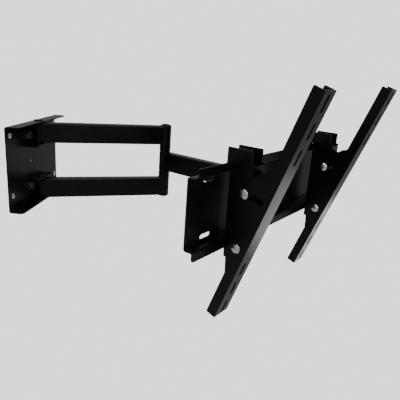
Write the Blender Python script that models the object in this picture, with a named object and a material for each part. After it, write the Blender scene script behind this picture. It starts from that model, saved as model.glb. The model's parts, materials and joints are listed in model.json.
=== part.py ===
"""Full motion wall mount for a television.

A channel-section wall plate carries a twin-tube arm on two vertical pivots.  A single-tube forearm
swings between the twin tubes at the elbow, and a wide crossbar swivels at its end.  Two hook brackets
slide along the crossbar's lips, and each carries a slotted rail that tilts about its lower bolt.

Frame: metres, +Z up, origin at the centre of the wall plate's back face, +Y into the wall,
-Y out into the room, +X to the right of someone who faces the wall.  Lengths below are millimetres
and angles are degrees; finish() turns each piece into metres.
"""
import bpy
import bmesh
from math import radians, pi, sin, cos, atan2, hypot, degrees
from mathutils import Matrix, Vector

MM = 0.001
GAP = 0.3                    # clearance between pieces that touch
ROUND = 24                   # sides of a large round piece
SMALL_ROUND = 16             # sides of a small one

# Driving dimensions ----------------------------------------------------------------------------
SHOULDER_TURN = 22.0         # the arm, from straight out of the wall towards +X
ELBOW_TURN = -54.5           # the forearm, from in line with the arm
SWIVEL_TURN = 0.0            # the head, from square to the forearm
TILT = 19.5                  # the rails, top edge leaning out from upright

PLATE_W, PLATE_H, PLATE_T = 216.0, 162.0, 2.5
PLATE_DEPTH = 27.0           # depth of the plate's top and bottom flanges
PIVOT_OUT = 14.5             # shoulder axis in front of the plate's back face
TAB_W, TAB_OUT, TAB_T = 68.0, 27.0, 4.0

TUBE_H, TUBE_W, TUBE_T = 40.0, 22.0, 2.5
ARM_LEN, FOREARM_LEN = 261.0, 238.0
ARM_Z = 57.5                 # centre height of each arm tube, above and below the middle
SHOULDER_R, COLUMN_R = 11.0, 12.0    # sleeves at the wall, and at the elbow and head
SLEEVE_H = 41.0
PIN_R = 6.0                  # M12 pivot bolts
BUSH_R = 7.8                 # outside of a nylon bush's barrel
BUSH_FLANGE = 0.9            # thickness of its flange
ELBOW_TOP = ARM_Z + TUBE_H / 2

BAR_LEN, BAR_WEB_H, BAR_T = 500.0, 114.4, 2.5
BAR_FACE = -30.1             # the crossbar web's front face, from the swivel axis
BAR_STEP = 15.3              # how far the lips stand in front of the web
LIP_H = 13.7                 # height of a lip beyond its flange
LIP_TRIM = 5.5               # how much shorter each end of the upper lip is
LIP_CORNER = 4.0             # corner taken off each end of the lower lip
BAR_SLOT_X, BAR_SLOT_Z = 200.0, (-44.5, 47.0)
BAR_SLOT_L, BAR_SLOT_W = 28.0, 8.0
SWIVEL_T = 3.0               # sheet of the swivel bracket

RAIL_LEN, RAIL_W, RAIL_D, RAIL_T = 412.0, 38.0, 18.6, 2.5
RAIL_X = 152.8               # each rail from the crossbar's centre
RAIL_FACE = -18.5            # the rail's front face, from the tilt axis
RAIL_BOTTOM = -138.8         # the rail's lower end, from the tilt axis
SLOT_L, SLOT_W = 28.0, 7.0
SLOT_STEPS = (104.0, 146.0, 187.0)

TILT_Y, TILT_Z = -71.1, -62.4    # the tilt axis in the head's frame
LOCK_Y, LOCK_Z = 25.6, 86.5      # the lock bolt from the tilt axis, with the rail upright
HOOK_T = 2.5
HOOK_FRONT, EAR_FRONT = -86.5, -82.0     # front web of the hook bracket, and its two ears
HOOK_TOP, HOOK_FOOT = 94.3, -84.0
EAR_STEP = 74.0
BOLT_R = 4.0                     # M8 tilt and lock bolts

LAG_X, LAG_Z = 29.0, (55.5, -46.5)       # wall lag bolts from the plate's centre
SCREW_X, SCREW_Z = 95.0, (64.0, -51.0)   # corner screws from the plate's centre

MATERIALS = {                # colour, metallic, roughness
    "black_paint": ((0.012, 0.012, 0.013), 0.0, 0.38),
    "zinc": ((0.62, 0.62, 0.60), 1.0, 0.32),
    "nylon": ((0.03, 0.03, 0.03), 0.0, 0.55),
}

# Values worked out from them -------------------------------------------------------------------
FLANGE_ROOM = PLATE_H / 2 - PLATE_T - ARM_Z  # from a tube's middle to the flange above it
TAB_TOP = ARM_Z - FLANGE_ROOM
SHOULDER_HALF = FLANGE_ROOM - GAP * 2 - BUSH_FLANGE
LIP_FRONT = BAR_FACE - BAR_STEP
LIP_BACK = LIP_FRONT + BAR_T
LIP_TOP = BAR_WEB_H / 2 + LIP_H
RAIL_IN = RAIL_W / 2 - RAIL_T                # inner face of a rail's sides
HOOK_OUT = RAIL_IN - GAP                     # outer face of a hook plate
HOOK_IN = HOOK_OUT - HOOK_T
HOOK_REAR = LIP_FRONT - GAP                  # the hook bracket's rear face rests on the lips
TAB_GAP = SLEEVE_H / 2 + GAP * 2 + BUSH_FLANGE
LOCK_REACH = hypot(LOCK_Y, LOCK_Z)           # the lock bolt's distance from the tilt axis
LOCK_TURN = degrees(atan2(LOCK_Z, LOCK_Y))   # and its direction in the rail's frame


# Scene, materials and objects ------------------------------------------------------------------
def clear_scene():
    for ob in list(bpy.data.objects):
        bpy.data.objects.remove(ob, do_unlink=True)


def material(name):
    found = bpy.data.materials.get(name)
    if found:
        return found
    colour, metallic, rough = MATERIALS[name]
    mat = bpy.data.materials.new(name)
    mat.use_nodes = True
    shader = mat.node_tree.nodes["Principled BSDF"]
    shader.inputs["Base Color"].default_value = (*colour, 1.0)
    shader.inputs["Metallic"].default_value = metallic
    shader.inputs["Roughness"].default_value = rough
    return mat


def axis_empty(name, at, parent=None, turn_z=0.0, turn_x=0.0):
    """An axis that pieces hang on, placed in its parent's frame."""
    ob = bpy.data.objects.new(name, None)
    bpy.context.collection.objects.link(ob)
    ob.location = Vector(at) * MM
    ob.rotation_euler = (radians(turn_x), 0.0, radians(turn_z))
    ob.parent = parent
    return ob


def finish(name, bm, parent, slot="black_paint"):
    """Make an object in metres from a bmesh in millimetres, in its parent's frame."""
    bmesh.ops.remove_doubles(bm, verts=bm.verts, dist=0.001)
    bmesh.ops.recalc_face_normals(bm, faces=bm.faces)
    bmesh.ops.scale(bm, vec=(MM, MM, MM), verts=bm.verts)
    mesh = bpy.data.meshes.new(name)
    bm.to_mesh(mesh)
    bm.free()
    mesh.shade_smooth()
    mesh.set_sharp_from_angle(angle=radians(35))
    mesh.materials.append(material(slot))
    ob = bpy.data.objects.new(name, mesh)
    bpy.context.collection.objects.link(ob)
    ob.parent = parent
    return ob


def carve(target, bm, operation="DIFFERENCE"):
    """Cut an object with a bmesh, or keep only what lies inside it."""
    cutter = finish(target.name + "_cutter", bm, target.parent)
    cutter.hide_render = True
    cutter.display_type = "WIRE"
    mod = target.modifiers.new(cutter.name, "BOOLEAN")
    mod.operation = operation
    mod.solver = "EXACT"
    mod.object = cutter


# Outlines --------------------------------------------------------------------------------------
def arc(cx, cy, r, a0, a1, steps=6):
    """Points on a circle from angle a0 to a1, both ends included."""
    angles = [radians(a0 + (a1 - a0) * i / steps) for i in range(steps + 1)]
    return [(cx + r * cos(a), cy + r * sin(a)) for a in angles]


def box_outline(x0, x1, y0, y1):
    return [(x0, y0), (x1, y0), (x1, y1), (x0, y1)]


def rounded(corners, steps=4):
    """A closed outline from (a, b, radius) corners, each rounded by its radius."""
    out = []
    for i, (a, b, r) in enumerate(corners):
        here = Vector((a, b))
        back = (Vector(corners[i - 1][:2]) - here).normalized()
        ahead = (Vector(corners[(i + 1) % len(corners)][:2]) - here).normalized()
        if r <= 0:
            out.append((a, b))
            continue
        half = back.angle(ahead) / 2
        centre = here + (back + ahead).normalized() * (r / sin(half))
        start = here + back * (r / (sin(half) / cos(half))) - centre
        end = here + ahead * (r / (sin(half) / cos(half))) - centre
        a0, a1 = degrees(atan2(start.y, start.x)), degrees(atan2(end.y, end.x))
        sweep = (a1 - a0 + 180) % 360 - 180
        out += arc(centre.x, centre.y, r, a0, a0 + sweep, steps)
    return out


def slot_outline(cx, cy, length, width, steps=4):
    """A slot with round ends, long in the outline's first coordinate."""
    half, r = (length - width) / 2, width / 2
    return arc(cx + half, cy, r, -90, 90, steps) + arc(cx - half, cy, r, 90, 270, steps)


def folded_sheet(path, thickness, bend, steps=3):
    """Outline of a sheet folded along a centre line, with rounded bends."""
    line = [Vector(path[0])]
    for i in range(1, len(path) - 1):
        corner = rounded([(*path[i - 1], 0), (*path[i], bend), (*path[i + 1], 0)], steps)
        line += [Vector(p) for p in corner[1:-1]]
    line.append(Vector(path[-1]))
    left, right = [], []
    for i, p in enumerate(line):
        runs = [(b - a).normalized() for a, b in ((line[i - 1], p), (p, line[(i + 1) % len(line)]))]
        if i == 0:
            runs = [runs[1]]
        elif i == len(line) - 1:
            runs = [runs[0]]
        sides = [Vector((-run.y, run.x)) for run in runs]
        mitre = sum(sides, Vector((0, 0))).normalized()
        reach = thickness / 2 / mitre.dot(sides[0])
        left.append(tuple(p + mitre * reach))
        right.append(tuple(p - mitre * reach))
    return left + right[::-1]


# Solids ----------------------------------------------------------------------------------------
PLACE = {                    # an outline's two coordinates and its height, along each axis
    "X": lambda a, b, h: (h, a, b),
    "Y": lambda a, b, h: (a, h, b),
    "Z": lambda a, b, h: (a, b, h),
}


def add_prism(bm, outline, axis, low, high):
    """Extrude a closed outline along an axis, from low to high."""
    place = PLACE[axis]
    face = bm.faces.new([bm.verts.new(place(a, b, low)) for a, b in outline])
    grown = bmesh.ops.extrude_face_region(bm, geom=[face], use_keep_orig=True)["geom"]
    moved = [g for g in grown if isinstance(g, bmesh.types.BMVert)]
    bmesh.ops.translate(bm, verts=moved, vec=place(0.0, 0.0, high - low))


def add_block(bm, x, y, z):
    add_prism(bm, box_outline(x[0], x[1], y[0], y[1]), "Z", z[0], z[1])


def add_turned(bm, profile, at=(0.0, 0.0, 0.0), axis="Z", sides=ROUND):
    """Spin a closed (radius, height) profile about an axis through a point."""
    before = set(bm.verts)
    verts = [bm.verts.new((r, 0.0, h)) for r, h in profile]
    pairs = zip(verts, verts[1:] + verts[:1])
    edges = [bm.edges.new(pair) for pair in pairs if max(v.co.x for v in pair) > 0]
    bmesh.ops.spin(bm, geom=verts + edges, cent=(0, 0, 0), axis=(0, 0, 1), dvec=(0, 0, 0),
                   angle=2 * pi, steps=sides, use_merge=True)
    new = [v for v in bm.verts if v not in before]
    turns = {"Z": Matrix(), "X": Matrix.Rotation(pi / 2, 4, "Y"), "Y": Matrix.Rotation(-pi / 2, 4, "X")}
    bmesh.ops.transform(bm, matrix=Matrix.Translation(at) @ turns[axis], verts=new)


def add_pin(bm, r, low, high, at=(0.0, 0.0, 0.0), axis="Z", sides=ROUND):
    add_turned(bm, [(0, low), (r, low), (r, high), (0, high)], at, axis, sides)


def add_ring(bm, r_in, r_out, low, high, at=(0.0, 0.0, 0.0), axis="Z", sides=ROUND):
    add_turned(bm, [(r_in, low), (r_out, low), (r_out, high), (r_in, high)], at, axis, sides)


def hexagon(flats, centre=(0.0, 0.0), turn=0.0):
    return [p for p in arc(centre[0], centre[1], flats / 2 / cos(pi / 6), turn, turn + 300, 5)]


def domed_bolt(bm, at, axis, head_r, head_h, shank_r, length, sign=1):
    """A domed head whose underside is at the point, and a shank that runs on along the axis."""
    dome = arc(0, 0, 1, 0, 90, 4)[1:-1]
    profile = [(0, length), (shank_r, length), (shank_r, 0), (head_r, 0), (head_r, -head_h * 0.3)]
    profile += [(head_r * c, -head_h * (0.3 + 0.7 * s)) for c, s in dome] + [(0, -head_h)]
    add_turned(bm, [(r, h * sign) for r, h in profile], at, axis, SMALL_ROUND)


# Wall plate and what is fixed to it ------------------------------------------------------------
def wall_plate():
    half_w, half_h, mid = PLATE_W / 2, PLATE_H / 2, PLATE_T / 2
    bm = bmesh.new()
    top = half_h - mid
    path = [(-PLATE_DEPTH, -top), (-mid, -top), (-mid, top), (-PLATE_DEPTH, top)]
    add_prism(bm, folded_sheet(path, PLATE_T, 3.0), "X", -half_w, half_w)
    plate = finish("wall_plate", bm, None)

    corner = 8.0
    bm = bmesh.new()
    outline = rounded([(-half_w, 1, 0), (-half_w, -PLATE_DEPTH, corner),
                       (half_w, -PLATE_DEPTH, corner), (half_w, 1, 0)])
    add_prism(bm, outline, "Z", -half_h - 1, half_h + 1)
    carve(plate, bm, "INTERSECT")

    bm = bmesh.new()
    add_pin(bm, PIN_R + GAP, -half_h - 1, half_h + 1, (0, -PIVOT_OUT, 0))
    for sx in (-1, 1):
        for lag_z, screw_z in zip(LAG_Z, SCREW_Z):
            add_prism(bm, slot_outline(sx * LAG_X, lag_z, 16, 10.8), "Y", -PLATE_T - 1, 1)
            add_pin(bm, 3.3, -PLATE_T - 1, 1, (sx * SCREW_X, 0, screw_z), "Y", SMALL_ROUND)
    add_pin(bm, 3.0, -PLATE_T - 1, 1, (-12, 0, 0), "Y", SMALL_ROUND)
    carve(plate, bm)


def wall_tab(name, z):
    """The shelf inside the plate that takes the other end of a shoulder pivot."""
    bm = bmesh.new()
    outline = rounded([(-TAB_W / 2, -PLATE_T - GAP, 0), (-TAB_W / 2, -TAB_OUT, 4),
                       (TAB_W / 2, -TAB_OUT, 4), (TAB_W / 2, -PLATE_T - GAP, 0)])
    add_prism(bm, outline, "Z", z - TAB_T / 2, z + TAB_T / 2)
    tab = finish(name, bm, None)
    bm = bmesh.new()
    add_pin(bm, PIN_R + GAP, z - TAB_T, z + TAB_T, (0, -PIVOT_OUT, 0))
    carve(tab, bm)


def pivot_pin(name, clip_name, sign):
    """A headed pin through flange, sleeve and tab, held by a spring clip beyond the tab."""
    outer, inner = PLATE_H / 2 + GAP, TAB_TOP - TAB_T - GAP
    head, clip_t, tail = 1.8, 1.2, 2.0
    at = (0, -PIVOT_OUT, 0)
    profile = [(0, outer + head), (8.0, outer + head), (9.0, outer + head / 2), (9.0, outer),
               (PIN_R, outer), (PIN_R, inner - clip_t - tail), (0, inner - clip_t - tail)]
    bm = bmesh.new()
    add_turned(bm, [(r, sign * h) for r, h in profile], at)
    finish(name, bm, None)
    bm = bmesh.new()
    add_ring(bm, PIN_R + GAP, 9.5, sign * inner, sign * (inner - clip_t), at, sides=SMALL_ROUND)
    finish(clip_name, bm, None, "zinc")


def pivot_bolt(name, parent, at, top, bottom, head_flats=19.0, head_h=7.5):
    """A hex bolt whose head sits on top and whose shank runs down to its end."""
    bm = bmesh.new()
    add_prism(bm, hexagon(head_flats, at), "Z", top, top + head_h)
    bolt = finish(name, bm, parent)
    bm = bmesh.new()
    add_pin(bm, PIN_R, bottom, top + head_h / 2, (*at, 0))
    carve(bolt, bm, "UNION")


def lock_nut(name, parent, at, top, thick=8.0, flats=19.0, bore=PIN_R + GAP):
    bm = bmesh.new()
    add_prism(bm, hexagon(flats, at), "Z", top - thick, top)
    nut = finish(name, bm, parent)
    bm = bmesh.new()
    add_pin(bm, bore, top - thick - 1, top + 1, (*at, 0))
    carve(nut, bm)


def wall_fixings():
    """Lag bolts with washers, and small corner screws; their threads would be inside the wall."""
    head, washer_r, washer_t, flats = 6.4, 9.5, 1.6, 16.0
    face = -PLATE_T - GAP
    under = face - washer_t - GAP
    places = [(sx, row) for row in (0, 1) for sx in (-1, 1)]
    for number, (sx, row) in enumerate(places, 1):
        x, z = sx * LAG_X, LAG_Z[row]
        bm = bmesh.new()
        add_ring(bm, 5.3, washer_r, face - washer_t, face, (x, 0, z), "Y")
        finish(f"wall_lag_washer_{number}", bm, None, "zinc")
        bm = bmesh.new()
        add_prism(bm, hexagon(flats, (x, z), 30), "Y", under - head, under)
        bolt = finish(f"wall_lag_bolt_{number}", bm, None, "zinc")
        bm = bmesh.new()
        add_pin(bm, 5.0, under - head / 2, -0.5, (x, 0, z), "Y", SMALL_ROUND)
        carve(bolt, bm, "UNION")
        bm = bmesh.new()
        domed_bolt(bm, (sx * SCREW_X, face, SCREW_Z[row]), "Y", 6.0, 3.2, 3.0, 2.3)
        finish(f"wall_corner_screw_{number}", bm, None, "zinc")


def wall():
    wall_plate()
    for side, sign in (("upper", 1), ("lower", -1)):
        wall_tab(side + "_wall_tab", sign * (TAB_TOP - TAB_T / 2))
    pivot_pin("upper_shoulder_pin", "upper_shoulder_clip", 1)
    pivot_pin("lower_shoulder_pin", "lower_shoulder_clip", -1)
    wall_fixings()


# Arms ------------------------------------------------------------------------------------------
def sleeve(name, parent, at, low, high, r=COLUMN_R):
    """A welded pivot sleeve with a bore for its bushes."""
    bm = bmesh.new()
    add_ring(bm, BUSH_R + GAP, r, low, high, (*at, 0))
    finish(name, bm, parent)


def bushes(name, parent, at, low, high):
    """A flanged nylon bush in each end of a sleeve."""
    barrel, bore, rim = 14.0, PIN_R + GAP, SHOULDER_R - 1
    for place, end, inwards in (("bottom", low - GAP, 1), ("top", high + GAP, -1)):
        profile = [(bore, -BUSH_FLANGE), (rim, -BUSH_FLANGE), (rim, 0),
                   (BUSH_R, 0), (BUSH_R, barrel), (bore, barrel)]
        bm = bmesh.new()
        add_turned(bm, [(r, end + inwards * h) for r, h in profile], (*at, 0))
        finish(f"{name}_{place}_bush", bm, parent, "nylon")


def arm_tube(name, parent, z, length, start_r, end_r=COLUMN_R):
    """A rectangular tube along -Y, coped at both ends round the sleeves it is welded to."""
    bm = bmesh.new()
    half_w, half_h, r = TUBE_W / 2, TUBE_H / 2, 3.0
    corners = [(-half_w, z - half_h, r), (half_w, z - half_h, r),
               (half_w, z + half_h, r), (-half_w, z + half_h, r)]
    add_prism(bm, rounded(corners, 3), "Y", -length, 0)
    tube = finish(name, bm, parent)
    in_w, in_h = half_w - TUBE_T, half_h - TUBE_T
    bm = bmesh.new()
    add_block(bm, (-in_w, in_w), (-length - 1, 1), (z - in_h, z + in_h))
    carve(tube, bm)
    bm = bmesh.new()
    for y, r in ((0.0, start_r), (-length, end_r)):
        add_pin(bm, r + GAP, z - half_h - 1, z + half_h + 1, (0, y, 0), sides=ROUND)
    carve(tube, bm)


def arm(parent):
    """The twin-tube arm, from the wall's pivots to the elbow."""
    elbow = (0.0, -ARM_LEN)
    low, high = ARM_Z - SHOULDER_HALF, ARM_Z + SHOULDER_HALF
    for side, sign in (("upper", 1), ("lower", -1)):
        arm_tube(side + "_arm_tube", parent, sign * ARM_Z, ARM_LEN, SHOULDER_R)
        ends = sorted((sign * low, sign * high))
        sleeve(side + "_shoulder_sleeve", parent, (0, 0), *ends, SHOULDER_R)
        bushes(side + "_shoulder", parent, (0, 0), *ends)
        ends = sorted((sign * TAB_GAP, sign * ELBOW_TOP))
        sleeve(side + "_elbow_knuckle", parent, elbow, *ends)

    cap_r, cap_h = 11.5, 4.2
    top = ELBOW_TOP + GAP
    end = -ELBOW_TOP - GAP - 2.6
    bm = bmesh.new()
    domed_bolt(bm, (*elbow, top), "Z", cap_r, cap_h, PIN_R, top - end, -1)
    finish("elbow_bolt", bm, parent)
    dome = [(cap_r * c, -top - cap_h * (0.3 + 0.7 * s)) for c, s in arc(0, 0, 1, 0, 90, 4)[1:-1]]
    profile = [(PIN_R + GAP, -top), (cap_r, -top), (cap_r, -top - cap_h * 0.3)] + dome
    profile += [(0, -top - cap_h), (0, end - GAP), (PIN_R + GAP, end - GAP)]
    bm = bmesh.new()
    add_turned(bm, profile, (*elbow, 0))
    finish("elbow_cap_nut", bm, parent)


def forearm(parent):
    """The single-tube forearm, from the elbow to the head."""
    half = SLEEVE_H / 2
    arm_tube("forearm_tube", parent, 0.0, FOREARM_LEN, COLUMN_R)
    sleeve("middle_elbow_knuckle", parent, (0, 0), -half, half)
    bushes("elbow", parent, (0, 0), -half, half)
    sleeve("head_sleeve", parent, (0, -FOREARM_LEN), -half, half)
    bushes("head", parent, (0, -FOREARM_LEN), -half, half)


# Head ------------------------------------------------------------------------------------------
def crossbar(parent):
    mid = BAR_T / 2
    web, lip = BAR_FACE + mid, LIP_FRONT + mid
    shelf = BAR_WEB_H / 2 - mid
    path = [(lip, -LIP_TOP), (lip, -shelf), (web, -shelf), (web, shelf), (lip, shelf), (lip, LIP_TOP)]
    bm = bmesh.new()
    add_prism(bm, folded_sheet(path, BAR_T, 2.6), "X", -BAR_LEN / 2, BAR_LEN / 2)
    bar = finish("crossbar", bm, parent)
    bm = bmesh.new()
    front, back = LIP_FRONT - 2, BAR_FACE + 5
    for sx in (-1, 1):
        for slot_z in BAR_SLOT_Z:
            slot = slot_outline(sx * BAR_SLOT_X, slot_z, BAR_SLOT_L, BAR_SLOT_W)
            add_prism(bm, slot, "Y", front, back)
        end, start = sx * (BAR_LEN / 2 + 1), sx * (BAR_LEN / 2 - LIP_TRIM)
        low, high = BAR_WEB_H / 2 + 1.5, LIP_TOP + 1
        corner = rounded([(end, low, 0), (start, low, 2.5), (start, high, 0), (end, high, 0)])
        add_prism(bm, corner, "Y", front, back)
        start, low = sx * (BAR_LEN / 2 - LIP_CORNER), LIP_CORNER - LIP_TOP
        add_prism(bm, [(end, low), (end, -high), (start, -high)][::sx], "Y", front, back)
    carve(bar, bm)


def swivel_bracket(parent):
    """A folded U behind the crossbar, whose two ears hold the head's pivot."""
    back = BAR_FACE + BAR_T + GAP
    ear = TAB_GAP + SWIVEL_T / 2
    half_w, nose = 32.0, 15.0
    bm = bmesh.new()
    fold = folded_sheet([(nose, -ear), (back + SWIVEL_T / 2, -ear), (back + SWIVEL_T / 2, ear),
                         (nose, ear)], SWIVEL_T, 3.0)
    add_prism(bm, fold, "X", -half_w, half_w)
    bracket = finish("swivel_bracket", bm, parent)
    bm = bmesh.new()
    outline = [(-half_w - 1, back - 1), (half_w + 1, back - 1), (half_w + 1, -8)]
    outline += arc(0, 0, nose - 1, -20, 200, 12) + [(-half_w - 1, -8)]
    add_prism(bm, outline, "Z", -ear - 5, ear + 5)
    carve(bracket, bm, "INTERSECT")
    bm = bmesh.new()
    add_pin(bm, PIN_R + GAP, -ear - 5, ear + 5)
    carve(bracket, bm)
    top = TAB_GAP + SWIVEL_T + GAP
    pivot_bolt("swivel_bolt", parent, (0, 0), top, -top - 9.5)
    lock_nut("swivel_nut", parent, (0, 0), -top)


# Hook brackets and rails -----------------------------------------------------------------------
def hook_bracket(name, parent):
    """A channel whose two side plates end in ears that hook over the crossbar's upper lip."""
    finger_in, finger_out, finger_end = LIP_BACK + GAP, LIP_BACK + 4.3, BAR_WEB_H / 2 + 3
    outline = rounded([
        (EAR_FRONT, HOOK_TOP, 1.5), (EAR_FRONT, EAR_STEP, 1.0), (HOOK_FRONT, EAR_STEP, 1.0),
        (HOOK_FRONT, -58, 12), (-78, HOOK_FOOT, 5), (HOOK_REAR - 1, HOOK_FOOT, 3),
        (HOOK_REAR, LIP_TOP + 0.5, 0), (finger_in, LIP_TOP + 0.5, 0), (finger_in, finger_end, 0),
        (finger_out, finger_end, 1), (finger_out, HOOK_TOP, 1.5)], 3)
    bm = bmesh.new()
    add_prism(bm, outline, "X", -HOOK_OUT, HOOK_OUT)
    bracket = finish(name, bm, parent)

    web_back, web_end = HOOK_FRONT + HOOK_T, -40
    bm = bmesh.new()
    add_block(bm, (-HOOK_IN, HOOK_IN), (web_back, -30), (-100, 110))
    carve(bracket, bm)
    bm = bmesh.new()
    add_block(bm, (-HOOK_IN, HOOK_IN), (HOOK_FRONT - 1, web_back + 1), (-100, web_end))
    add_block(bm, (-HOOK_IN, HOOK_IN), (HOOK_FRONT - 1, web_back + 2), (EAR_STEP - 3, 110))
    carve(bracket, bm)

    bm = bmesh.new()
    for y, z in ((TILT_Y, TILT_Z), lock_place()):
        add_pin(bm, BOLT_R + GAP, -HOOK_OUT - 1, HOOK_OUT + 1, (0, y, z), "X", SMALL_ROUND)
    carve(bracket, bm)


def lock_place():
    """Where the lock bolt sits in the hook bracket: at one end of the rail's curved slot."""
    angle = radians(LOCK_TURN + TILT)
    return TILT_Y + LOCK_REACH * cos(angle), TILT_Z + LOCK_REACH * sin(angle)


def lock_slot():
    """The curved slot of a rail's side, about the tilt axis, that the lock bolt clamps."""
    half, first, last = BOLT_R + 0.5, LOCK_TURN, LOCK_TURN + TILT
    ends = [(LOCK_REACH * cos(radians(a)), LOCK_REACH * sin(radians(a))) for a in (first, last)]
    outline = arc(0, 0, LOCK_REACH + half, first, last, 6)
    outline += arc(*ends[1], half, last, last + 180, 6)[1:-1]
    outline += arc(0, 0, LOCK_REACH - half, last, first, 6)
    outline += arc(*ends[0], half, first + 180, first + 360, 6)[1:-1]
    return outline


def rail(name, parent):
    """A slotted channel, deepened on both sides where the two bolts pass through."""
    top = RAIL_BOTTOM + RAIL_LEN
    rear = RAIL_FACE + RAIL_D
    outline = rounded([
        (RAIL_FACE, RAIL_BOTTOM, 1), (RAIL_FACE, top, 1), (rear, top, 1.5),
        (rear, 142, 6), (9, 130, 15), (17, 126.5, 6), (37, 98, 8), (38, 84, 10),
        (14, -17, 14), (rear, -50, 10), (rear, RAIL_BOTTOM, 1.5)][::-1], 4)
    half = RAIL_W / 2
    bm = bmesh.new()
    add_prism(bm, outline, "X", -half, half)
    fold = [e for e in bm.edges if all(abs(v.co.y - RAIL_FACE) < 0.01 for v in e.verts)
            and abs(e.verts[0].co.x - e.verts[1].co.x) < 0.01]
    bmesh.ops.bevel(bm, geom=fold, offset=1.2, segments=2, profile=0.5, affect="EDGES", material=-1)
    channel = finish(name, bm, parent)
    bm = bmesh.new()
    add_block(bm, (-RAIL_IN, RAIL_IN), (RAIL_FACE + RAIL_T, 60), (RAIL_BOTTOM - 5, top + 5))
    carve(channel, bm)

    middle = RAIL_BOTTOM + RAIL_LEN / 2
    bm = bmesh.new()
    for step in SLOT_STEPS:
        for z in (middle - step, middle + step):
            turned = [(b, a) for a, b in slot_outline(z, 0, SLOT_L, SLOT_W)]
            add_prism(bm, turned, "Y", RAIL_FACE - 1, RAIL_FACE + RAIL_T + 1)
    add_pin(bm, BOLT_R + GAP, -half - 1, half + 1, (0, 0, 0), "X", SMALL_ROUND)
    add_prism(bm, lock_slot(), "X", -half - 1, half + 1)
    carve(channel, bm)


def cross_bolt(name, parent, y, z):
    """A domed bolt across the rail, with its nut and the spacer tube between the hook plates."""
    head_x = -RAIL_W / 2 - GAP
    bm = bmesh.new()
    domed_bolt(bm, (head_x, y, z), "X", 8.0, 5.0, BOLT_R, 49.0)
    finish(name + "_bolt", bm, parent, "zinc")
    nut_x, thick = RAIL_W / 2 + GAP, 7.0
    bm = bmesh.new()
    add_prism(bm, hexagon(13.0, (y, z)), "X", nut_x, nut_x + thick)
    nut = finish(name + "_nut", bm, parent, "zinc")
    bm = bmesh.new()
    add_pin(bm, BOLT_R + GAP, nut_x - 1, nut_x + thick + 1, (0, y, z), "X", SMALL_ROUND)
    carve(nut, bm)


def spacer(name, parent, y, z):
    end = HOOK_IN - GAP
    bm = bmesh.new()
    add_ring(bm, BOLT_R + GAP, 6.0, -end, end, (0, y, z), "X", SMALL_ROUND)
    finish(name, bm, parent, "zinc")


def tv_side(side, sign, head):
    slide = axis_empty(side + "_slide_axis", (sign * RAIL_X, 0, 0), head)
    hook_bracket(side + "_hook_bracket", slide)
    spacer(side + "_tilt_spacer", slide, TILT_Y, TILT_Z)
    cross_bolt(side + "_lock", slide, *lock_place())
    spacer(side + "_lock_spacer", slide, *lock_place())
    tilt = axis_empty(side + "_tilt_axis", (0, TILT_Y, TILT_Z), slide, turn_x=TILT)
    rail(side + "_rail", tilt)
    cross_bolt(side + "_tilt", tilt, 0, 0)


def main():
    clear_scene()
    wall()
    shoulder = axis_empty("shoulder_axis", (0, -PIVOT_OUT, 0), turn_z=SHOULDER_TURN)
    arm(shoulder)
    elbow = axis_empty("elbow_axis", (0, -ARM_LEN, 0), shoulder, turn_z=ELBOW_TURN)
    forearm(elbow)
    head = axis_empty("swivel_axis", (0, -FOREARM_LEN, 0), elbow, turn_z=SWIVEL_TURN)
    crossbar(head)
    swivel_bracket(head)
    for side, sign in (("left", -1), ("right", 1)):
        tv_side(side, sign, head)


main()
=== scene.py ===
# %% [markdown]
# # A full motion television wall mount
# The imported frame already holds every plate, tube and bolt at its true size.  This lesson gives each
# of them the finish of the real thing: folded sheet with soft edges, turned sleeves, rolled welds,
# bright zinc fasteners and a satin black powder coat.  We start by loading that frame, and we keep
# its box so that we can show at the end that nothing has grown.

# %% Load the frame
import json
from math import asin, cos, pi, radians, sin

import bmesh
import bpy
from mathutils import Matrix, Quaternion, Vector


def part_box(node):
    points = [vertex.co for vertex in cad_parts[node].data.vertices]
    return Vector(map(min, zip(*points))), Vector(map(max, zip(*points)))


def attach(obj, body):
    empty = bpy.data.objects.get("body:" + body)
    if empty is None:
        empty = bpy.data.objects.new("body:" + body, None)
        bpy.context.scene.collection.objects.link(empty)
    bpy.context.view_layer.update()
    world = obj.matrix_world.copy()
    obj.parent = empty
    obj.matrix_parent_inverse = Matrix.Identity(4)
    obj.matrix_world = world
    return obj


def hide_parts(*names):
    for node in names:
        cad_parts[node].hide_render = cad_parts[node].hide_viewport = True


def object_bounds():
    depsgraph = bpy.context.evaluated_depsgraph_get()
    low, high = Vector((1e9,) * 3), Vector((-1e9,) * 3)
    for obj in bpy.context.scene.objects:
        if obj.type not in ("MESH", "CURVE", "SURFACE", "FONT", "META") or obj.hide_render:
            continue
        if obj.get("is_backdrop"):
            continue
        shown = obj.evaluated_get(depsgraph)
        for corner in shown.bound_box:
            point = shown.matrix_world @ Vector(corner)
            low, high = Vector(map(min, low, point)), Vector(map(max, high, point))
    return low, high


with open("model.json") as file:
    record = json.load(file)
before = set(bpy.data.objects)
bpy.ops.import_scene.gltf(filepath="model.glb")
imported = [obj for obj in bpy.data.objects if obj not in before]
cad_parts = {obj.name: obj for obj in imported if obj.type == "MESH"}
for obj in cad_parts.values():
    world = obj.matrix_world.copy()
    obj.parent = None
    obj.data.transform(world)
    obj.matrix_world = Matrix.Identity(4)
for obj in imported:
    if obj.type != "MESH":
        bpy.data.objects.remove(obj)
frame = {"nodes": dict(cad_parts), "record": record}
cad_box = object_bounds()
mm = 0.001
record = frame["record"]
body_of = {node: body for body, nodes in record["behaviour"]["bodies"].items() for node in nodes}
joints = {joint["name"]: joint for joint in record["behaviour"]["joints"]}

# %% [markdown]
# ## Where things are
# Every vertical pivot comes from its joint, so a sleeve or a weld can be placed from two pivots and
# the direction between them.  The head has its own directions: along the crossbar, and back to the wall.

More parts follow.
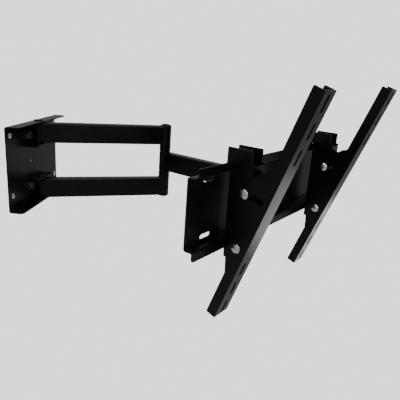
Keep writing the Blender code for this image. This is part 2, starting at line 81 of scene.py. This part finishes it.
# %% Pivots and directions
UP = Vector((0, 0, 1))
shoulder = Vector(joints["shoulder_swing"]["pos_m"])
elbow = Vector(joints["elbow_swing"]["pos_m"])
swivel = Vector(joints["head_swivel"]["pos_m"])
arm_way = (elbow - shoulder).normalized()
forearm_way = (swivel - elbow).normalized()
bar_way = Vector(joints["left_tilt"]["axis"]).normalized()
back_way = UP.cross(bar_way)
print("arm", round((elbow - shoulder).length / mm), "mm, forearm", round((swivel - elbow).length / mm), "mm")

# %% [markdown]
# ## The camera
# It stands out from the wall on the left of the mount and a little above it, close enough for strong
# perspective.  We build its direction from a heading and a downward pitch, then roll it slightly.

# %% Camera
heading, pitch, roll = radians(3.9), radians(-17.1), radians(4.1)
sight = Vector((cos(heading) * cos(pitch), sin(heading) * cos(pitch), sin(pitch)))
camera_data = bpy.data.cameras.new("camera")
camera = bpy.data.objects.new("camera", camera_data)
bpy.context.collection.objects.link(camera)
camera.location = (-0.8531, -0.4069, 0.2091)
camera.rotation_mode = "QUATERNION"
camera.rotation_quaternion = sight.to_track_quat("-Z", "Y") @ Quaternion((0, 0, 1), roll)
camera_data.sensor_width = 36.0
camera_data.lens = 39.44
camera_data.clip_start = 0.01
bpy.context.scene.camera = camera
print("camera", round(camera_data.lens, 1), "mm lens, rolled", round(roll * 180 / pi, 1), "degrees")

# %% [markdown]
# ## Shader maths as plain Python
# A node tree is easier to read as an expression.  `Value` wraps a socket, and adding or multiplying
# two of them adds a Math node.  `Finish.node` makes any other node from its type, settings and sockets.

# %% Shader helpers
def socket_of(value):
    return value.socket if isinstance(value, Value) else value


class Value:
    """A number that varies over a surface."""

    def __init__(self, finish, socket):
        self.finish, self.socket = finish, socket

    def maths(self, operation, first, second):
        return self.finish.node("ShaderNodeMath", {"operation": operation}, {0: first, 1: second})

    def __add__(self, other):
        return self.maths("ADD", self, other)

    def __sub__(self, other):
        return self.maths("SUBTRACT", self, other)

    def __rsub__(self, other):
        return self.maths("SUBTRACT", other, self)

    def __mul__(self, other):
        return self.maths("MULTIPLY", self, other)

    __radd__ = __add__
    __rmul__ = __mul__


class Finish:
    """A material on a Principled shader, with a way to add nodes to it."""

    def __init__(self, name):
        self.material = bpy.data.materials.new(name)
        self.material.use_nodes = True
        self.tree = self.material.node_tree
        self.shader = self.tree.nodes["Principled BSDF"]

    def node(self, kind, settings=None, sockets=None, output=0):
        made = self.tree.nodes.new(kind)
        for key, setting in (settings or {}).items():
            if key == "stops":
                ends = made.color_ramp.elements
                for element, (place, shade) in zip(ends, setting):
                    element.position = place
                    element.color = (shade, shade, shade, 1)
            else:
                setattr(made, key, setting)
        for key, value in (sockets or {}).items():
            self.feed(made.inputs[key], value)
        return Value(self, made.outputs[output])

    def feed(self, target, value):
        value = socket_of(value)
        if isinstance(value, bpy.types.NodeSocket):
            self.tree.links.new(value, target)
        else:
            target.default_value = value

    def set(self, **sockets):
        for name, value in sockets.items():
            self.feed(self.shader.inputs[name.replace("_", " ")], value)

    def place(self):
        return self.node("ShaderNodeTexCoord", output=3)

    def noise(self, scale, detail=3.0, rough=0.5, place=None):
        sockets = {"Vector": place or self.place(), "Scale": scale, "Detail": detail, "Roughness": rough}
        return self.node("ShaderNodeTexNoise", {}, sockets)

    def between(self, mask, low, high):
        """A value from low to high as the mask goes from 0 to 1."""
        return mask * (high - low) + low

    def mix(self, factor, first, second):
        sockets = {0: factor, 6: (*first, 1) if isinstance(first, tuple) else first, 7: (*second, 1)}
        return self.node("ShaderNodeMix", {"data_type": "RGBA"}, sockets, output=2)

    def bump(self, height, depth, strength=1.0, under=None):
        sockets = {"Height": height, "Distance": depth, "Strength": strength}
        if under:
            sockets["Normal"] = under
        return self.node("ShaderNodeBump", {}, sockets)

# %% [markdown]
# ## Powder coat
# Powder is baked on, so it flows into a very fine orange peel that breaks up every reflection.  Two
# sizes of noise make it: millimetre ripples, and a finer grain.  The sheen varies a little where
# hands have rubbed it, and a trace of pale dust lies in slow patches.

# %% Black powder coat
def powder_coat(name, colour, rough_low, rough_high, peel=0.000012):
    finish = Finish(name)
    place = finish.place()
    ripple = finish.noise(420, 2.0, 0.5, place)
    grain = finish.noise(1700, 2.0, 0.6, place)
    patches = finish.noise(14, 4.0, 0.6, place)
    dust = finish.node("ShaderNodeValToRGB", {"stops": ((0.52, 0.0), (0.78, 1.0))}, {0: patches})
    paler = tuple(c * 1.6 + 0.004 for c in colour)
    finish.set(Base_Color=finish.mix(dust, colour, paler))
    finish.set(Roughness=finish.between(patches, rough_low, rough_high) + grain * 0.04)
    finish.set(Normal=finish.bump(ripple + grain * 0.4, peel, 0.5), IOR=1.32)
    return finish.material


satin_black = powder_coat("satin_black", (0.0032, 0.0032, 0.0035), 0.22, 0.34)
weld_black = powder_coat("weld_black", (0.0036, 0.0036, 0.0039), 0.28, 0.40, 0.00004)

# %% [markdown]
# ## Zinc, dark steel and nylon
# Barrel-plated zinc is bright but never a mirror: it has a faint cloudy grain and fine scratches.
# The lag bolts are duller, with the dark scale of cheap hardware.  Nylon bushes are soft black.

# %% Metals and nylon
def plated(name, colour, dark, rough_low, rough_high):
    finish = Finish(name)
    place = finish.place()
    cloud = finish.noise(260, 4.0, 0.65, place)
    stretch = finish.node("ShaderNodeMapping", {}, {"Vector": place, "Scale": (900, 900, 120)})
    scratch = finish.noise(3.0, 3.0, 0.7, stretch)
    finish.set(Base_Color=finish.mix(cloud, dark, colour), Metallic=1.0)
    finish.set(Roughness=finish.between(cloud, rough_high, rough_low) + scratch * 0.06)
    finish.set(Normal=finish.bump(scratch + cloud, 0.00001, 0.5))
    return finish.material


def moulded(name, colour):
    finish = Finish(name)
    grain = finish.noise(1400, 3.0)
    finish.set(Base_Color=(*colour, 1), Roughness=finish.between(grain, 0.45, 0.6))
    finish.set(Normal=finish.bump(grain, 0.00003, 0.4))
    return finish.material


bright_zinc = plated("bright_zinc", (0.78, 0.78, 0.76), (0.55, 0.56, 0.56), 0.2, 0.34)
dark_steel = plated("dark_steel", (0.20, 0.20, 0.20), (0.10, 0.10, 0.10), 0.34, 0.5)
black_nylon = moulded("black_nylon", (0.022, 0.022, 0.024))
print(len(bpy.data.materials), "materials")

# %% [markdown]
# ## Making a piece
# Each piece is built as a bmesh in metres, where it belongs.  `soften` bevels the hard corners, since
# no real edge is perfectly sharp and the thin highlight along an edge is what makes black metal read
# as metal.  `piece` turns the bmesh into an object that stands for a node and rides on its body.

# %% Helpers for pieces
def soften(bm, width, segments=2, least=radians(40)):
    hard = [e for e in bm.edges if len(e.link_faces) == 2 and e.calc_face_angle() > least]
    bmesh.ops.bevel(bm, geom=hard, offset=width, segments=segments, profile=0.5, affect="EDGES",
                    clamp_overlap=True, material=-1)


def piece(name, bm, body, material, node=None):
    mesh = bpy.data.meshes.new(name)
    bm.to_mesh(mesh)
    bm.free()
    mesh.shade_smooth()
    mesh.set_sharp_from_angle(angle=radians(38))
    mesh.materials.append(material)
    made = bpy.data.objects.new(name, mesh)
    bpy.context.collection.objects.link(made)
    even = made.modifiers.new("even_shading", "WEIGHTED_NORMAL")
    even.keep_sharp = True
    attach(made, body)
    if node:
        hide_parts(node)
    return made

# %% [markdown]
# ## Folded sheet and tube
# Plates, brackets, rails and tubes already have the right shape, but as loose flat triangles.  A copy
# is merged, its flat areas are dissolved back to single faces, and its edges are rounded by a third of
# a millimetre, as tumbling and paint leave them.

# %% Sheet metal from the frame
def sheet_metal(node, edge=0.35 * mm, material=satin_black):
    bm = bmesh.new()
    bm.from_mesh(frame["nodes"][node].data)
    bmesh.ops.remove_doubles(bm, verts=bm.verts, dist=0.002 * mm)
    bmesh.ops.dissolve_limit(bm, angle_limit=radians(0.5), verts=bm.verts, edges=bm.edges)
    soften(bm, edge)
    made = piece(node + "_sheet", bm, body_of[node], material, node)
    print(node, len(made.data.polygons), "faces")


sheets = ["wall_plate", "upper_wall_tab", "lower_wall_tab", "upper_arm_tube", "lower_arm_tube",
          "forearm_tube", "crossbar", "swivel_bracket", "left_hook_bracket", "right_hook_bracket",
          "left_rail", "right_rail"]
for node in sheets:
    sheet_metal(node)

# %% [markdown]
# ## Turned pieces
# Sleeves, bushes, pins and washers are round, and they are made as on a lathe: half of the section
# is drawn, then spun about the axis.  A section that starts and ends on the axis gives a solid; a
# closed one gives a ring.  The piece is then laid along its real axis.

# %% The lathe
def lathe(section, ring, steps=64, edge=0.25 * mm):
    bm = bmesh.new()
    points = [bm.verts.new((r, 0, h)) for r, h in section]
    pairs = list(zip(points, points[1:]))
    if ring:
        pairs.append((points[-1], points[0]))
    edges = [bm.edges.new(pair) for pair in pairs]
    bmesh.ops.spin(bm, geom=points + edges, cent=(0, 0, 0), axis=(0, 0, 1), dvec=(0, 0, 0),
                   angle=2 * pi, steps=steps, use_merge=True)
    bmesh.ops.remove_doubles(bm, verts=bm.verts, dist=0.001 * mm)
    bmesh.ops.recalc_face_normals(bm, faces=bm.faces)
    if edge:
        soften(bm, edge)
    return bm


def lay(bm, at, way=UP):
    """Turn a bmesh from the Z axis to a direction, and move it to a place."""
    turn = Vector(way).to_track_quat("Z", "Y").to_matrix().to_4x4()
    bmesh.ops.transform(bm, matrix=Matrix.Translation(at) @ turn, verts=bm.verts)
    return bm


def middle(node):
    low, high = (Vector(corner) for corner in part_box(node))
    return (low + high) / 2, low, high

# %% [markdown]
# ## Sleeves and knuckles
# Each pivot turns in a short length of thick tube.  At the elbow three of these knuckles stack into
# one column.  A shallow turned chamfer at each end keeps the paint from chipping where they rub.

# %% Sleeves
def sleeve(node, bore):
    centre, low, high = middle(node)
    outside, half = (high.y - low.y) / 2, (high.z - low.z) / 2
    chamfer = 0.7 * mm
    section = [(bore, -half), (outside - chamfer, -half), (outside, -half + chamfer),
               (outside, half - chamfer), (outside - chamfer, half), (bore, half)]
    bm = lay(lathe(section, True, 72), centre)
    piece(node + "_turned", bm, body_of[node], satin_black, node)


bush_room = 8.1 * mm
for node in ("upper_shoulder_sleeve", "lower_shoulder_sleeve", "upper_elbow_knuckle",
             "middle_elbow_knuckle", "lower_elbow_knuckle", "head_sleeve"):
    sleeve(node, bush_room)

# %% [markdown]
# ## Bushes
# A flanged nylon bush lines each end of a sleeve, so that steel never rubs on steel.  The thin flange
# that shows between two knuckles is what makes the dark line round the elbow column.

# %% Flanged bushes
def bush(node, flange_on_top):
    centre, low, high = middle(node)
    rim, barrel, bore, flange = (high.y - low.y) / 2, 7.8 * mm, 6.3 * mm, 0.9 * mm
    top = (high.z - low.z) / 2
    section = [(bore, -top), (barrel, -top), (barrel, top - flange), (rim, top - flange),
               (rim, top), (bore, top)]
    bm = lathe(section, True, 56, 0.15 * mm)
    lay(bm, centre, UP if flange_on_top else -UP)
    piece(node + "_moulded", bm, body_of[node], black_nylon, node)


for place in ("upper_shoulder", "lower_shoulder", "elbow", "head"):
    bush(place + "_top_bush", True)
    bush(place + "_bottom_bush", False)

# %% [markdown]
# ## Elbow bolt and cap
# A single long bolt runs down through the column.  Its head and its cap nut are both low domes, so
# the column ends in two smooth rounded buttons.  The dome is an arc of the section.

# %% Domes
def dome(radius, height, rise, steps=9):
    """Points of a domed cap from its rim up to the axis."""
    ball = (radius ** 2 + rise ** 2) / (2 * rise)
    sweep = asin(radius / ball)
    angles = [sweep * (1 - i / steps) for i in range(steps + 1)]
    return [(ball * sin(a), height + rise - ball * (1 - cos(a))) for a in angles]


def column_ends():
    centre, low, high = middle("elbow_bolt")
    cap_low, cap_high = middle("elbow_cap_nut")[1:]
    rim, shank, rise = 11.4 * mm, 6.0 * mm, 3.0 * mm
    under = high.z - 4.2 * mm
    section = [(0, low.z), (shank - 0.6 * mm, low.z), (shank, low.z + 0.6 * mm), (shank, under),
               (rim, under)] + dome(rim, high.z - rise, rise)
    section[-1] = (0, high.z)
    bm = lay(lathe(section, False, 72), (centre.x, centre.y, 0))
    piece("elbow_bolt_turned", bm, "arm", satin_black, "elbow_bolt")
    bore, floor = 6.3 * mm, low.z - 0.3 * mm
    section = [(0, floor), (bore, floor), (bore, cap_high.z), (rim, cap_high.z)]
    section += [(r, -h) for r, h in dome(rim, -cap_low.z - rise, rise)]
    section[-1] = (0, cap_low.z)
    bm = lay(lathe(section, False, 72), (centre.x, centre.y, 0))
    piece("elbow_cap_turned", bm, "arm", satin_black, "elbow_cap_nut")


column_ends()

# %% [markdown]
# ## Shoulder pins and spring clips
# The arm hangs on two headed pins.  Each has a flat painted head outside the flange and a split
# spring clip beyond the shelf.  The clip is a ring with a mouth: a spun section that stops short of a
# full turn, with its two ends filled.

# %% Pins and clips
def shoulder_pin(node, sign):
    low, high = middle(node)[1:]
    length = high.z - low.z
    head, rim, shank = 1.8 * mm, 9.0 * mm, 6.0 * mm
    section = [(0, 0), (shank - 0.6 * mm, 0), (shank, 0.6 * mm), (shank, length - head),
               (rim, length - head), (rim, length - 0.9 * mm), (rim - 1.4 * mm, length), (0, length)]
    foot = Vector((shoulder.x, shoulder.y, low.z if sign > 0 else high.z))
    bm = lay(lathe(section, False, 64), foot, UP * sign)
    piece(node + "_turned", bm, "wall", satin_black, node)


def spring_clip(node):
    centre, low, high = middle(node)
    bore, rim, half = 6.3 * mm, 9.4 * mm, (high.z - low.z) / 2
    bm = bmesh.new()
    corners = [(bore, -half), (rim, -half), (rim, half), (bore, half)]
    face = bm.faces.new([bm.verts.new((r, 0, h)) for r, h in corners])
    bmesh.ops.spin(bm, geom=[face], cent=(0, 0, 0), axis=(0, 0, 1), dvec=(0, 0, 0),
                   angle=radians(290), steps=48, use_merge=False)
    bmesh.ops.holes_fill(bm, edges=[e for e in bm.edges if e.is_boundary])
    bmesh.ops.recalc_face_normals(bm, faces=bm.faces)
    bmesh.ops.rotate(bm, cent=(0, 0, 0), matrix=Matrix.Rotation(radians(-55), 3, "Z"), verts=bm.verts)
    soften(bm, 0.15 * mm)
    piece(node + "_spring", lay(bm, centre), "wall", dark_steel, node)


for side, sign in (("upper", 1), ("lower", -1)):
    shoulder_pin(side + "_shoulder_pin", sign)
    spring_clip(side + "_shoulder_clip")

# %% [markdown]
# ## Hex heads and nuts
# A hexagon is a six-sided circle, extruded.  The rounded crown on a real head is a cone that trims
# its corners: here the edges of the top face are bevelled instead.  A nut starts as
# two loops, a hexagon and its bore, bridged into a ring before it is extruded.

# %% Hexagons
def hex_head(flats, height, crown=0.8 * mm):
    """A hexagonal head from z = 0 up to its crown."""
    bm = bmesh.new()
    bmesh.ops.create_circle(bm, cap_ends=True, segments=6, radius=flats / 2 / cos(pi / 6))
    grown = bmesh.ops.extrude_face_region(bm, geom=bm.faces[:], use_keep_orig=True)["geom"]
    top = [v for v in grown if isinstance(v, bmesh.types.BMVert)]
    bmesh.ops.translate(bm, verts=top, vec=(0, 0, height))
    bmesh.ops.recalc_face_normals(bm, faces=bm.faces)
    lid = [e for e in bm.edges if all(v.co.z > height / 2 for v in e.verts)]
    bmesh.ops.bevel(bm, geom=lid, offset=crown, segments=3, profile=0.5, affect="EDGES", material=-1)
    soften(bm, 0.2 * mm)
    return bm


def hex_nut(flats, height, bore):
    bm = bmesh.new()
    per_side = 8
    outer = bmesh.ops.create_circle(bm, segments=6, radius=flats / 2 / cos(pi / 6))["verts"]
    sides = list({e for v in outer for e in v.link_edges})
    bmesh.ops.subdivide_edges(bm, edges=sides, cuts=per_side - 1)
    outer_edges = bm.edges[:]
    inner = bmesh.ops.create_circle(bm, segments=6 * per_side, radius=bore)["verts"]
    inner_edges = list({e for v in inner for e in v.link_edges})
    bmesh.ops.bridge_loops(bm, edges=outer_edges + inner_edges)
    grown = bmesh.ops.extrude_face_region(bm, geom=bm.faces[:], use_keep_orig=True)["geom"]
    top = [v for v in grown if isinstance(v, bmesh.types.BMVert)]
    bmesh.ops.translate(bm, verts=top, vec=(0, 0, height))
    bmesh.ops.recalc_face_normals(bm, faces=bm.faces)
    soften(bm, 0.45 * mm)
    return bm

# %% [markdown]
# ## Wall fixings
# Four hex lag bolts with washers carry the load, and four small screws steady the corners.  The small
# screws have bright pan heads with a round driver recess, which reads as a ring of light.

# %% Lag bolts, washers and screws
def lag_bolt(node):
    centre, low, high = middle(node)
    flats, height, shank = 16.0 * mm, 6.4 * mm, 5.0 * mm
    out = Vector((0, -1, 0))
    bm = lay(hex_head(flats, height), (centre.x, low.y + height, centre.z), out)
    body = lathe([(0, 0), (shank, 0), (shank, high.y - low.y - height), (0, high.y - low.y - height)],
                 False, 32)
    lay(body, (centre.x, high.y, centre.z), out)
    shaft = bpy.data.meshes.new("shaft")
    body.to_mesh(shaft)
    body.free()
    bm.from_mesh(shaft)
    bpy.data.meshes.remove(shaft)
    piece(node + "_forged", bm, "wall", dark_steel, node)


def washer(node):
    centre, low, high = middle(node)
    rim, bore, thick = (high.x - low.x) / 2, 5.3 * mm, high.y - low.y
    section = [(bore, 0), (rim, 0), (rim, thick), (bore, thick)]
    bm = lay(lathe(section, True, 56), (centre.x, high.y, centre.z), (0, -1, 0))
    piece(node + "_pressed", bm, "wall", dark_steel, node)


def corner_screw(node):
    centre, low, high = middle(node)
    rim, height, shank, recess = 6.0 * mm, 3.2 * mm, 3.0 * mm, 2.2 * mm
    length = high.y - low.y - height
    head = [(rim, length), (rim, length + 1.0 * mm)] + dome(rim, length + 1.0 * mm, 2.2 * mm)[1:-3]
    section = [(0, 0), (shank, 0), (shank, length)] + head
    section += [(recess, length + height - 0.25 * mm), (recess - 0.3 * mm, length + 1.2 * mm),
                (0, length + 0.8 * mm)]
    bm = lay(lathe(section, False, 48, 0.15 * mm), (centre.x, high.y, centre.z), (0, -1, 0))
    piece(node + "_pan_head", bm, "wall", bright_zinc, node)


for number in range(1, 5):
    lag_bolt(f"wall_lag_bolt_{number}")
    washer(f"wall_lag_washer_{number}")
    corner_screw(f"wall_corner_screw_{number}")

# %% [markdown]
# ## Tilt and lock bolts
# Two bolts cross each rail.  The lower one is the tilt axis; the upper one stays in the hook bracket
# and clamps a curved slot of the rail, which locks the angle.  Their heads are smooth bright domes,
# with a nut and a short run of thread on the far side and a spacer tube between the hook plates.

# %% Cross bolts
tilt = -radians(joints["left_tilt"]["range_deg"][0])
lock_back, lock_rise = 25.6 * mm, 86.5 * mm       # from the tilt bolt, with the rail upright
lock_offset = Matrix.Rotation(tilt, 3, bar_way) @ (back_way * lock_back + UP * lock_rise)


def thread(radius, start, end, pitch=1.25 * mm, depth=0.45 * mm):
    """A zigzag section that reads as a thread."""
    turns = int((end - start) / pitch)
    crests = [(radius, start + (i + 0.5) * pitch) for i in range(turns)]
    roots = [(radius - depth, start + (i + 1) * pitch) for i in range(turns)]
    return [point for pair in zip(crests, roots) for point in pair]


def cross_bolt(side, kind, at, body):
    head_at, head_h, rim, shank, length = -19.3 * mm, 5.0 * mm, 8.0 * mm, 4.0 * mm, 49.0 * mm
    start = 40.0 * mm
    section = [(0, -head_h)] + [(r, -h) for r, h in dome(rim, 1.2 * mm, head_h - 1.2 * mm)[::-1][1:]]
    section += [(rim, 0), (shank, 0), (shank, start)] + thread(shank, start, length - 0.8 * mm)
    section += [(shank - 0.8 * mm, length), (0, length)]
    bm = lay(lathe(section, False, 56, 0), at + bar_way * head_at, bar_way)
    piece(f"{side}_{kind}_bolt_turned", bm, body, bright_zinc, f"{side}_{kind}_bolt")
    nut_at = 19.3 * mm
    bm = lay(hex_nut(13.0 * mm, 7.0 * mm, 4.3 * mm), at + bar_way * nut_at, bar_way)
    piece(f"{side}_{kind}_nut_cut", bm, body, bright_zinc, f"{side}_{kind}_nut")


def spacer(side, kind, at, body):
    half, rim, bore = 13.4 * mm, 6.0 * mm, 4.3 * mm
    section = [(bore, -half), (rim, -half), (rim, half), (bore, half)]
    bm = lay(lathe(section, True, 48), at, bar_way)
    piece(f"{side}_{kind}_spacer_cut", bm, body, bright_zinc, f"{side}_{kind}_spacer")


for side in ("left", "right"):
    tilt_at = Vector(joints[side + "_tilt"]["pos_m"])
    lock_at = tilt_at + lock_offset
    cross_bolt(side, "tilt", tilt_at, side + "_rail_tilt")
    cross_bolt(side, "lock", lock_at, side + "_bracket")
    spacer(side, "tilt", tilt_at, side + "_bracket")
    spacer(side, "lock", lock_at, side + "_bracket")

# %% [markdown]
# ## Swivel bolt
# The head turns on one heavy hex bolt, painted with the rest, with its nut underneath.

# %% Swivel bolt and nut
def swivel_fixing():
    low, high = middle("swivel_bolt")[1:]
    head_h, flats, shank = 7.5 * mm, 19.0 * mm, 6.0 * mm
    top = high.z - head_h
    start, end = 0.0, top - low.z
    section = [(0, start), (shank - 0.8 * mm, start)] + thread(shank, start, 12 * mm, 1.75 * mm, 0.5 * mm)
    section += [(shank, 12.5 * mm), (shank, end), (0, end)]
    shaft = lathe(section, False, 48, 0)
    lay(shaft, (swivel.x, swivel.y, low.z))
    bm = hex_head(flats, head_h)
    lay(bm, (swivel.x, swivel.y, top))
    mesh = bpy.data.meshes.new("shaft")
    shaft.to_mesh(mesh)
    shaft.free()
    bm.from_mesh(mesh)
    bpy.data.meshes.remove(mesh)
    piece("swivel_bolt_forged", bm, "head", satin_black, "swivel_bolt")
    low, high = middle("swivel_nut")[1:]
    bm = lay(hex_nut(flats, high.z - low.z, 6.3 * mm), (swivel.x, swivel.y, low.z))
    piece("swivel_nut_cut", bm, "head", satin_black, "swivel_nut")


swivel_fixing()

# %% [markdown]
# ## Weld beads
# Tubes are welded to their sleeves down both sides, the shelves to the wall plate, and the swivel
# bracket to the crossbar.  A bead is a thin rod whose thickness ripples with each pulse of the torch,
# so a small ring is extruded in steps and scaled up and down on the way.

# %% Welds
def weld_bead(name, start, end, body, radius=1.5 * mm, pulse=1.8 * mm):
    run = end - start
    steps = int(run.length / (pulse / 4))
    rise = run.length / steps
    bm = bmesh.new()
    ring = bmesh.ops.create_circle(bm, segments=12, radius=radius * 0.7)["verts"]
    edges = bm.edges[:]
    size = 0.7
    for i in range(1, steps + 1):
        grown = bmesh.ops.extrude_edge_only(bm, edges=edges)["geom"]
        ring = [g for g in grown if isinstance(g, bmesh.types.BMVert)]
        edges = [g for g in grown if isinstance(g, bmesh.types.BMEdge)]
        bmesh.ops.translate(bm, verts=ring, vec=(0, 0, rise))
        target = 0.7 if i == steps else 0.86 + 0.14 * cos(2 * pi * i / 4)
        bmesh.ops.scale(bm, vec=(target / size, target / size, 1), verts=ring)
        size = target
    bmesh.ops.holes_fill(bm, edges=[e for e in bm.edges if e.is_boundary])
    bmesh.ops.recalc_face_normals(bm, faces=bm.faces)
    piece(name, lay(bm, start, run.normalized()), body, weld_black)


near_joint, far_joint, beside = 3.4 * mm, 5.6 * mm, 10.9 * mm    # where a seam lies from a pivot


def tube_welds(name, tube, pivot, way, along, body):
    """Beads down both sides of a tube where it meets a sleeve."""
    low, high = middle(tube)[1:]
    side_way = UP.cross(way)
    inset = 1.5 * mm
    for label, sign in (("left", 1), ("right", -1)):
        foot = pivot + way * along + side_way * sign * beside
        ends = [Vector((foot.x, foot.y, z)) for z in (low.z + inset, high.z - inset)]
        weld_bead(f"{name}_{label}_weld", *ends, body, 1.3 * mm)


for side in ("upper", "lower"):
    tube = side + "_arm_tube"
    tube_welds(side + "_shoulder", tube, shoulder, arm_way, near_joint, "arm")
    tube_welds(side + "_elbow", tube, elbow, arm_way, -far_joint, "arm")
tube_welds("forearm_elbow", "forearm_tube", elbow, forearm_way, far_joint, "forearm")
tube_welds("forearm_head", "forearm_tube", swivel, forearm_way, -far_joint, "forearm")

# %% [markdown]
# ## Shelf and bracket seams
# The two shelves are welded to the wall plate along their inner edges, and the swivel bracket to the
# back of the crossbar at each side.  They reuse the same bead.

# %% Shelf and bracket welds
plate_face = middle("upper_wall_tab")[2].y
for side, sign in (("upper", 1), ("lower", -1)):
    centre, low, high = middle(side + "_wall_tab")
    z = (low.z if sign > 0 else high.z) - sign * 0.7 * mm
    ends = [Vector((x, plate_face - 0.9 * mm, z)) for x in (low.x + 3 * mm, high.x - 3 * mm)]
    weld_bead(side + "_shelf_weld", *ends, "wall", 1.3 * mm)
for label, sign in (("left", -1), ("right", 1)):
    foot = swivel + bar_way * sign * 32.4 * mm - back_way * 26.2 * mm
    weld_bead(f"swivel_bracket_{label}_weld", foot - UP * 19 * mm, foot + UP * 19 * mm, "head", 1.2 * mm)

# %% [markdown]
# ## Stage and light
# Black metal shows only what it reflects.  Room and floor are near white to the eye and dim to the
# metal, so the outline stays crisp and the faces stay dark.  The floor starts the stage: a wide grid
# well below the mount, which shows a plain bright surface to the eye and lights the metal only softly.

# %% Pale floor
floor_bm = bmesh.new()
bmesh.ops.create_grid(floor_bm, x_segments=2, y_segments=2, size=9.0)
floor_mesh = bpy.data.meshes.new("floor")
floor_bm.to_mesh(floor_mesh)
floor_bm.free()
floor = bpy.data.objects.new("floor", floor_mesh)
bpy.context.collection.objects.link(floor)
floor.location = (0, 0, cad_box[0][2] - 0.75)
pale = Finish("pale_floor")
speck = pale.noise(40, 4.0)
pale.set(Base_Color=pale.mix(speck, (0.86, 0.86, 0.85), (0.9, 0.9, 0.89)), Roughness=0.9)
white = pale.node("ShaderNodeEmission", {}, {"Strength": 1.8})
by_eye = pale.node("ShaderNodeLightPath")
blend = pale.node("ShaderNodeMixShader", {}, {0: by_eye, 1: pale.shader.outputs[0], 2: white})
pale.feed(pale.tree.nodes["Material Output"].inputs["Surface"], blend)
floor_mesh.materials.append(pale.material)
floor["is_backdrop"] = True

# %% [markdown]
# ## The room
# A bare white background would flood black paint with reflections.  Two backgrounds are mixed: one
# that is seen, and a dimmer one that the metal reflects.

# %% Room light
world = bpy.data.worlds.new("room")
world.use_nodes = True
bpy.context.scene.world = world
links, nodes = world.node_tree.links, world.node_tree.nodes
seen = nodes["Background"]
seen.inputs["Color"].default_value = (1, 1, 1, 1)
seen.inputs["Strength"].default_value = 1.8
dim = nodes.new("ShaderNodeBackground")
dim.inputs["Color"].default_value = (1, 1, 1, 1)
dim.inputs["Strength"].default_value = 0.34
path = nodes.new("ShaderNodeLightPath")
mixed = nodes.new("ShaderNodeMixShader")
links.new(path.outputs["Is Camera Ray"], mixed.inputs[0])
links.new(dim.outputs[0], mixed.inputs[1])
links.new(seen.outputs[0], mixed.inputs[2])
links.new(mixed.outputs[0], nodes["World Output"].inputs["Surface"])

# %% [markdown]
# ## Soft panels
# Three large soft lights shape the metal: one low in front for the rails, one overhead, and one beside
# the camera for the wall plate.

# %% Soft panels
def soft_panel(name, at, target, width, height, power):
    data = bpy.data.lights.new(name, "AREA")
    data.shape = "RECTANGLE"
    data.size, data.size_y, data.energy = width, height, power
    panel = bpy.data.objects.new(name, data)
    bpy.context.collection.objects.link(panel)
    panel.location = at
    panel.rotation_euler = (Vector(target) - Vector(at)).to_track_quat("-Z", "Y").to_euler()
    panel.visible_camera = False


head_at = swivel - back_way * 0.08
from_head = Vector((0.67, -0.52, -0.53)) * 1.1
soft_panel("rail_panel", head_at + from_head, head_at, 0.35, 0.35, 0.7)
soft_panel("overhead_panel", (-0.3, -0.5, 1.6), (0, -0.3, 0), 1.2, 1.2, 9)
soft_panel("camera_side_panel", (-1.5, -1.2, 0.9), (0, -0.3, 0), 0.8, 0.8, 4)

# %% [markdown]
# ## Checking the size
# The frame's box is compared with that of the finished model, and the change is printed in millimetres.

# %% Sizes
new_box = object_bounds()
change = [round((new - old) / mm, 2) for pair in zip(cad_box, new_box) for old, new in zip(*pair)]
print("change in size", change, "mm")
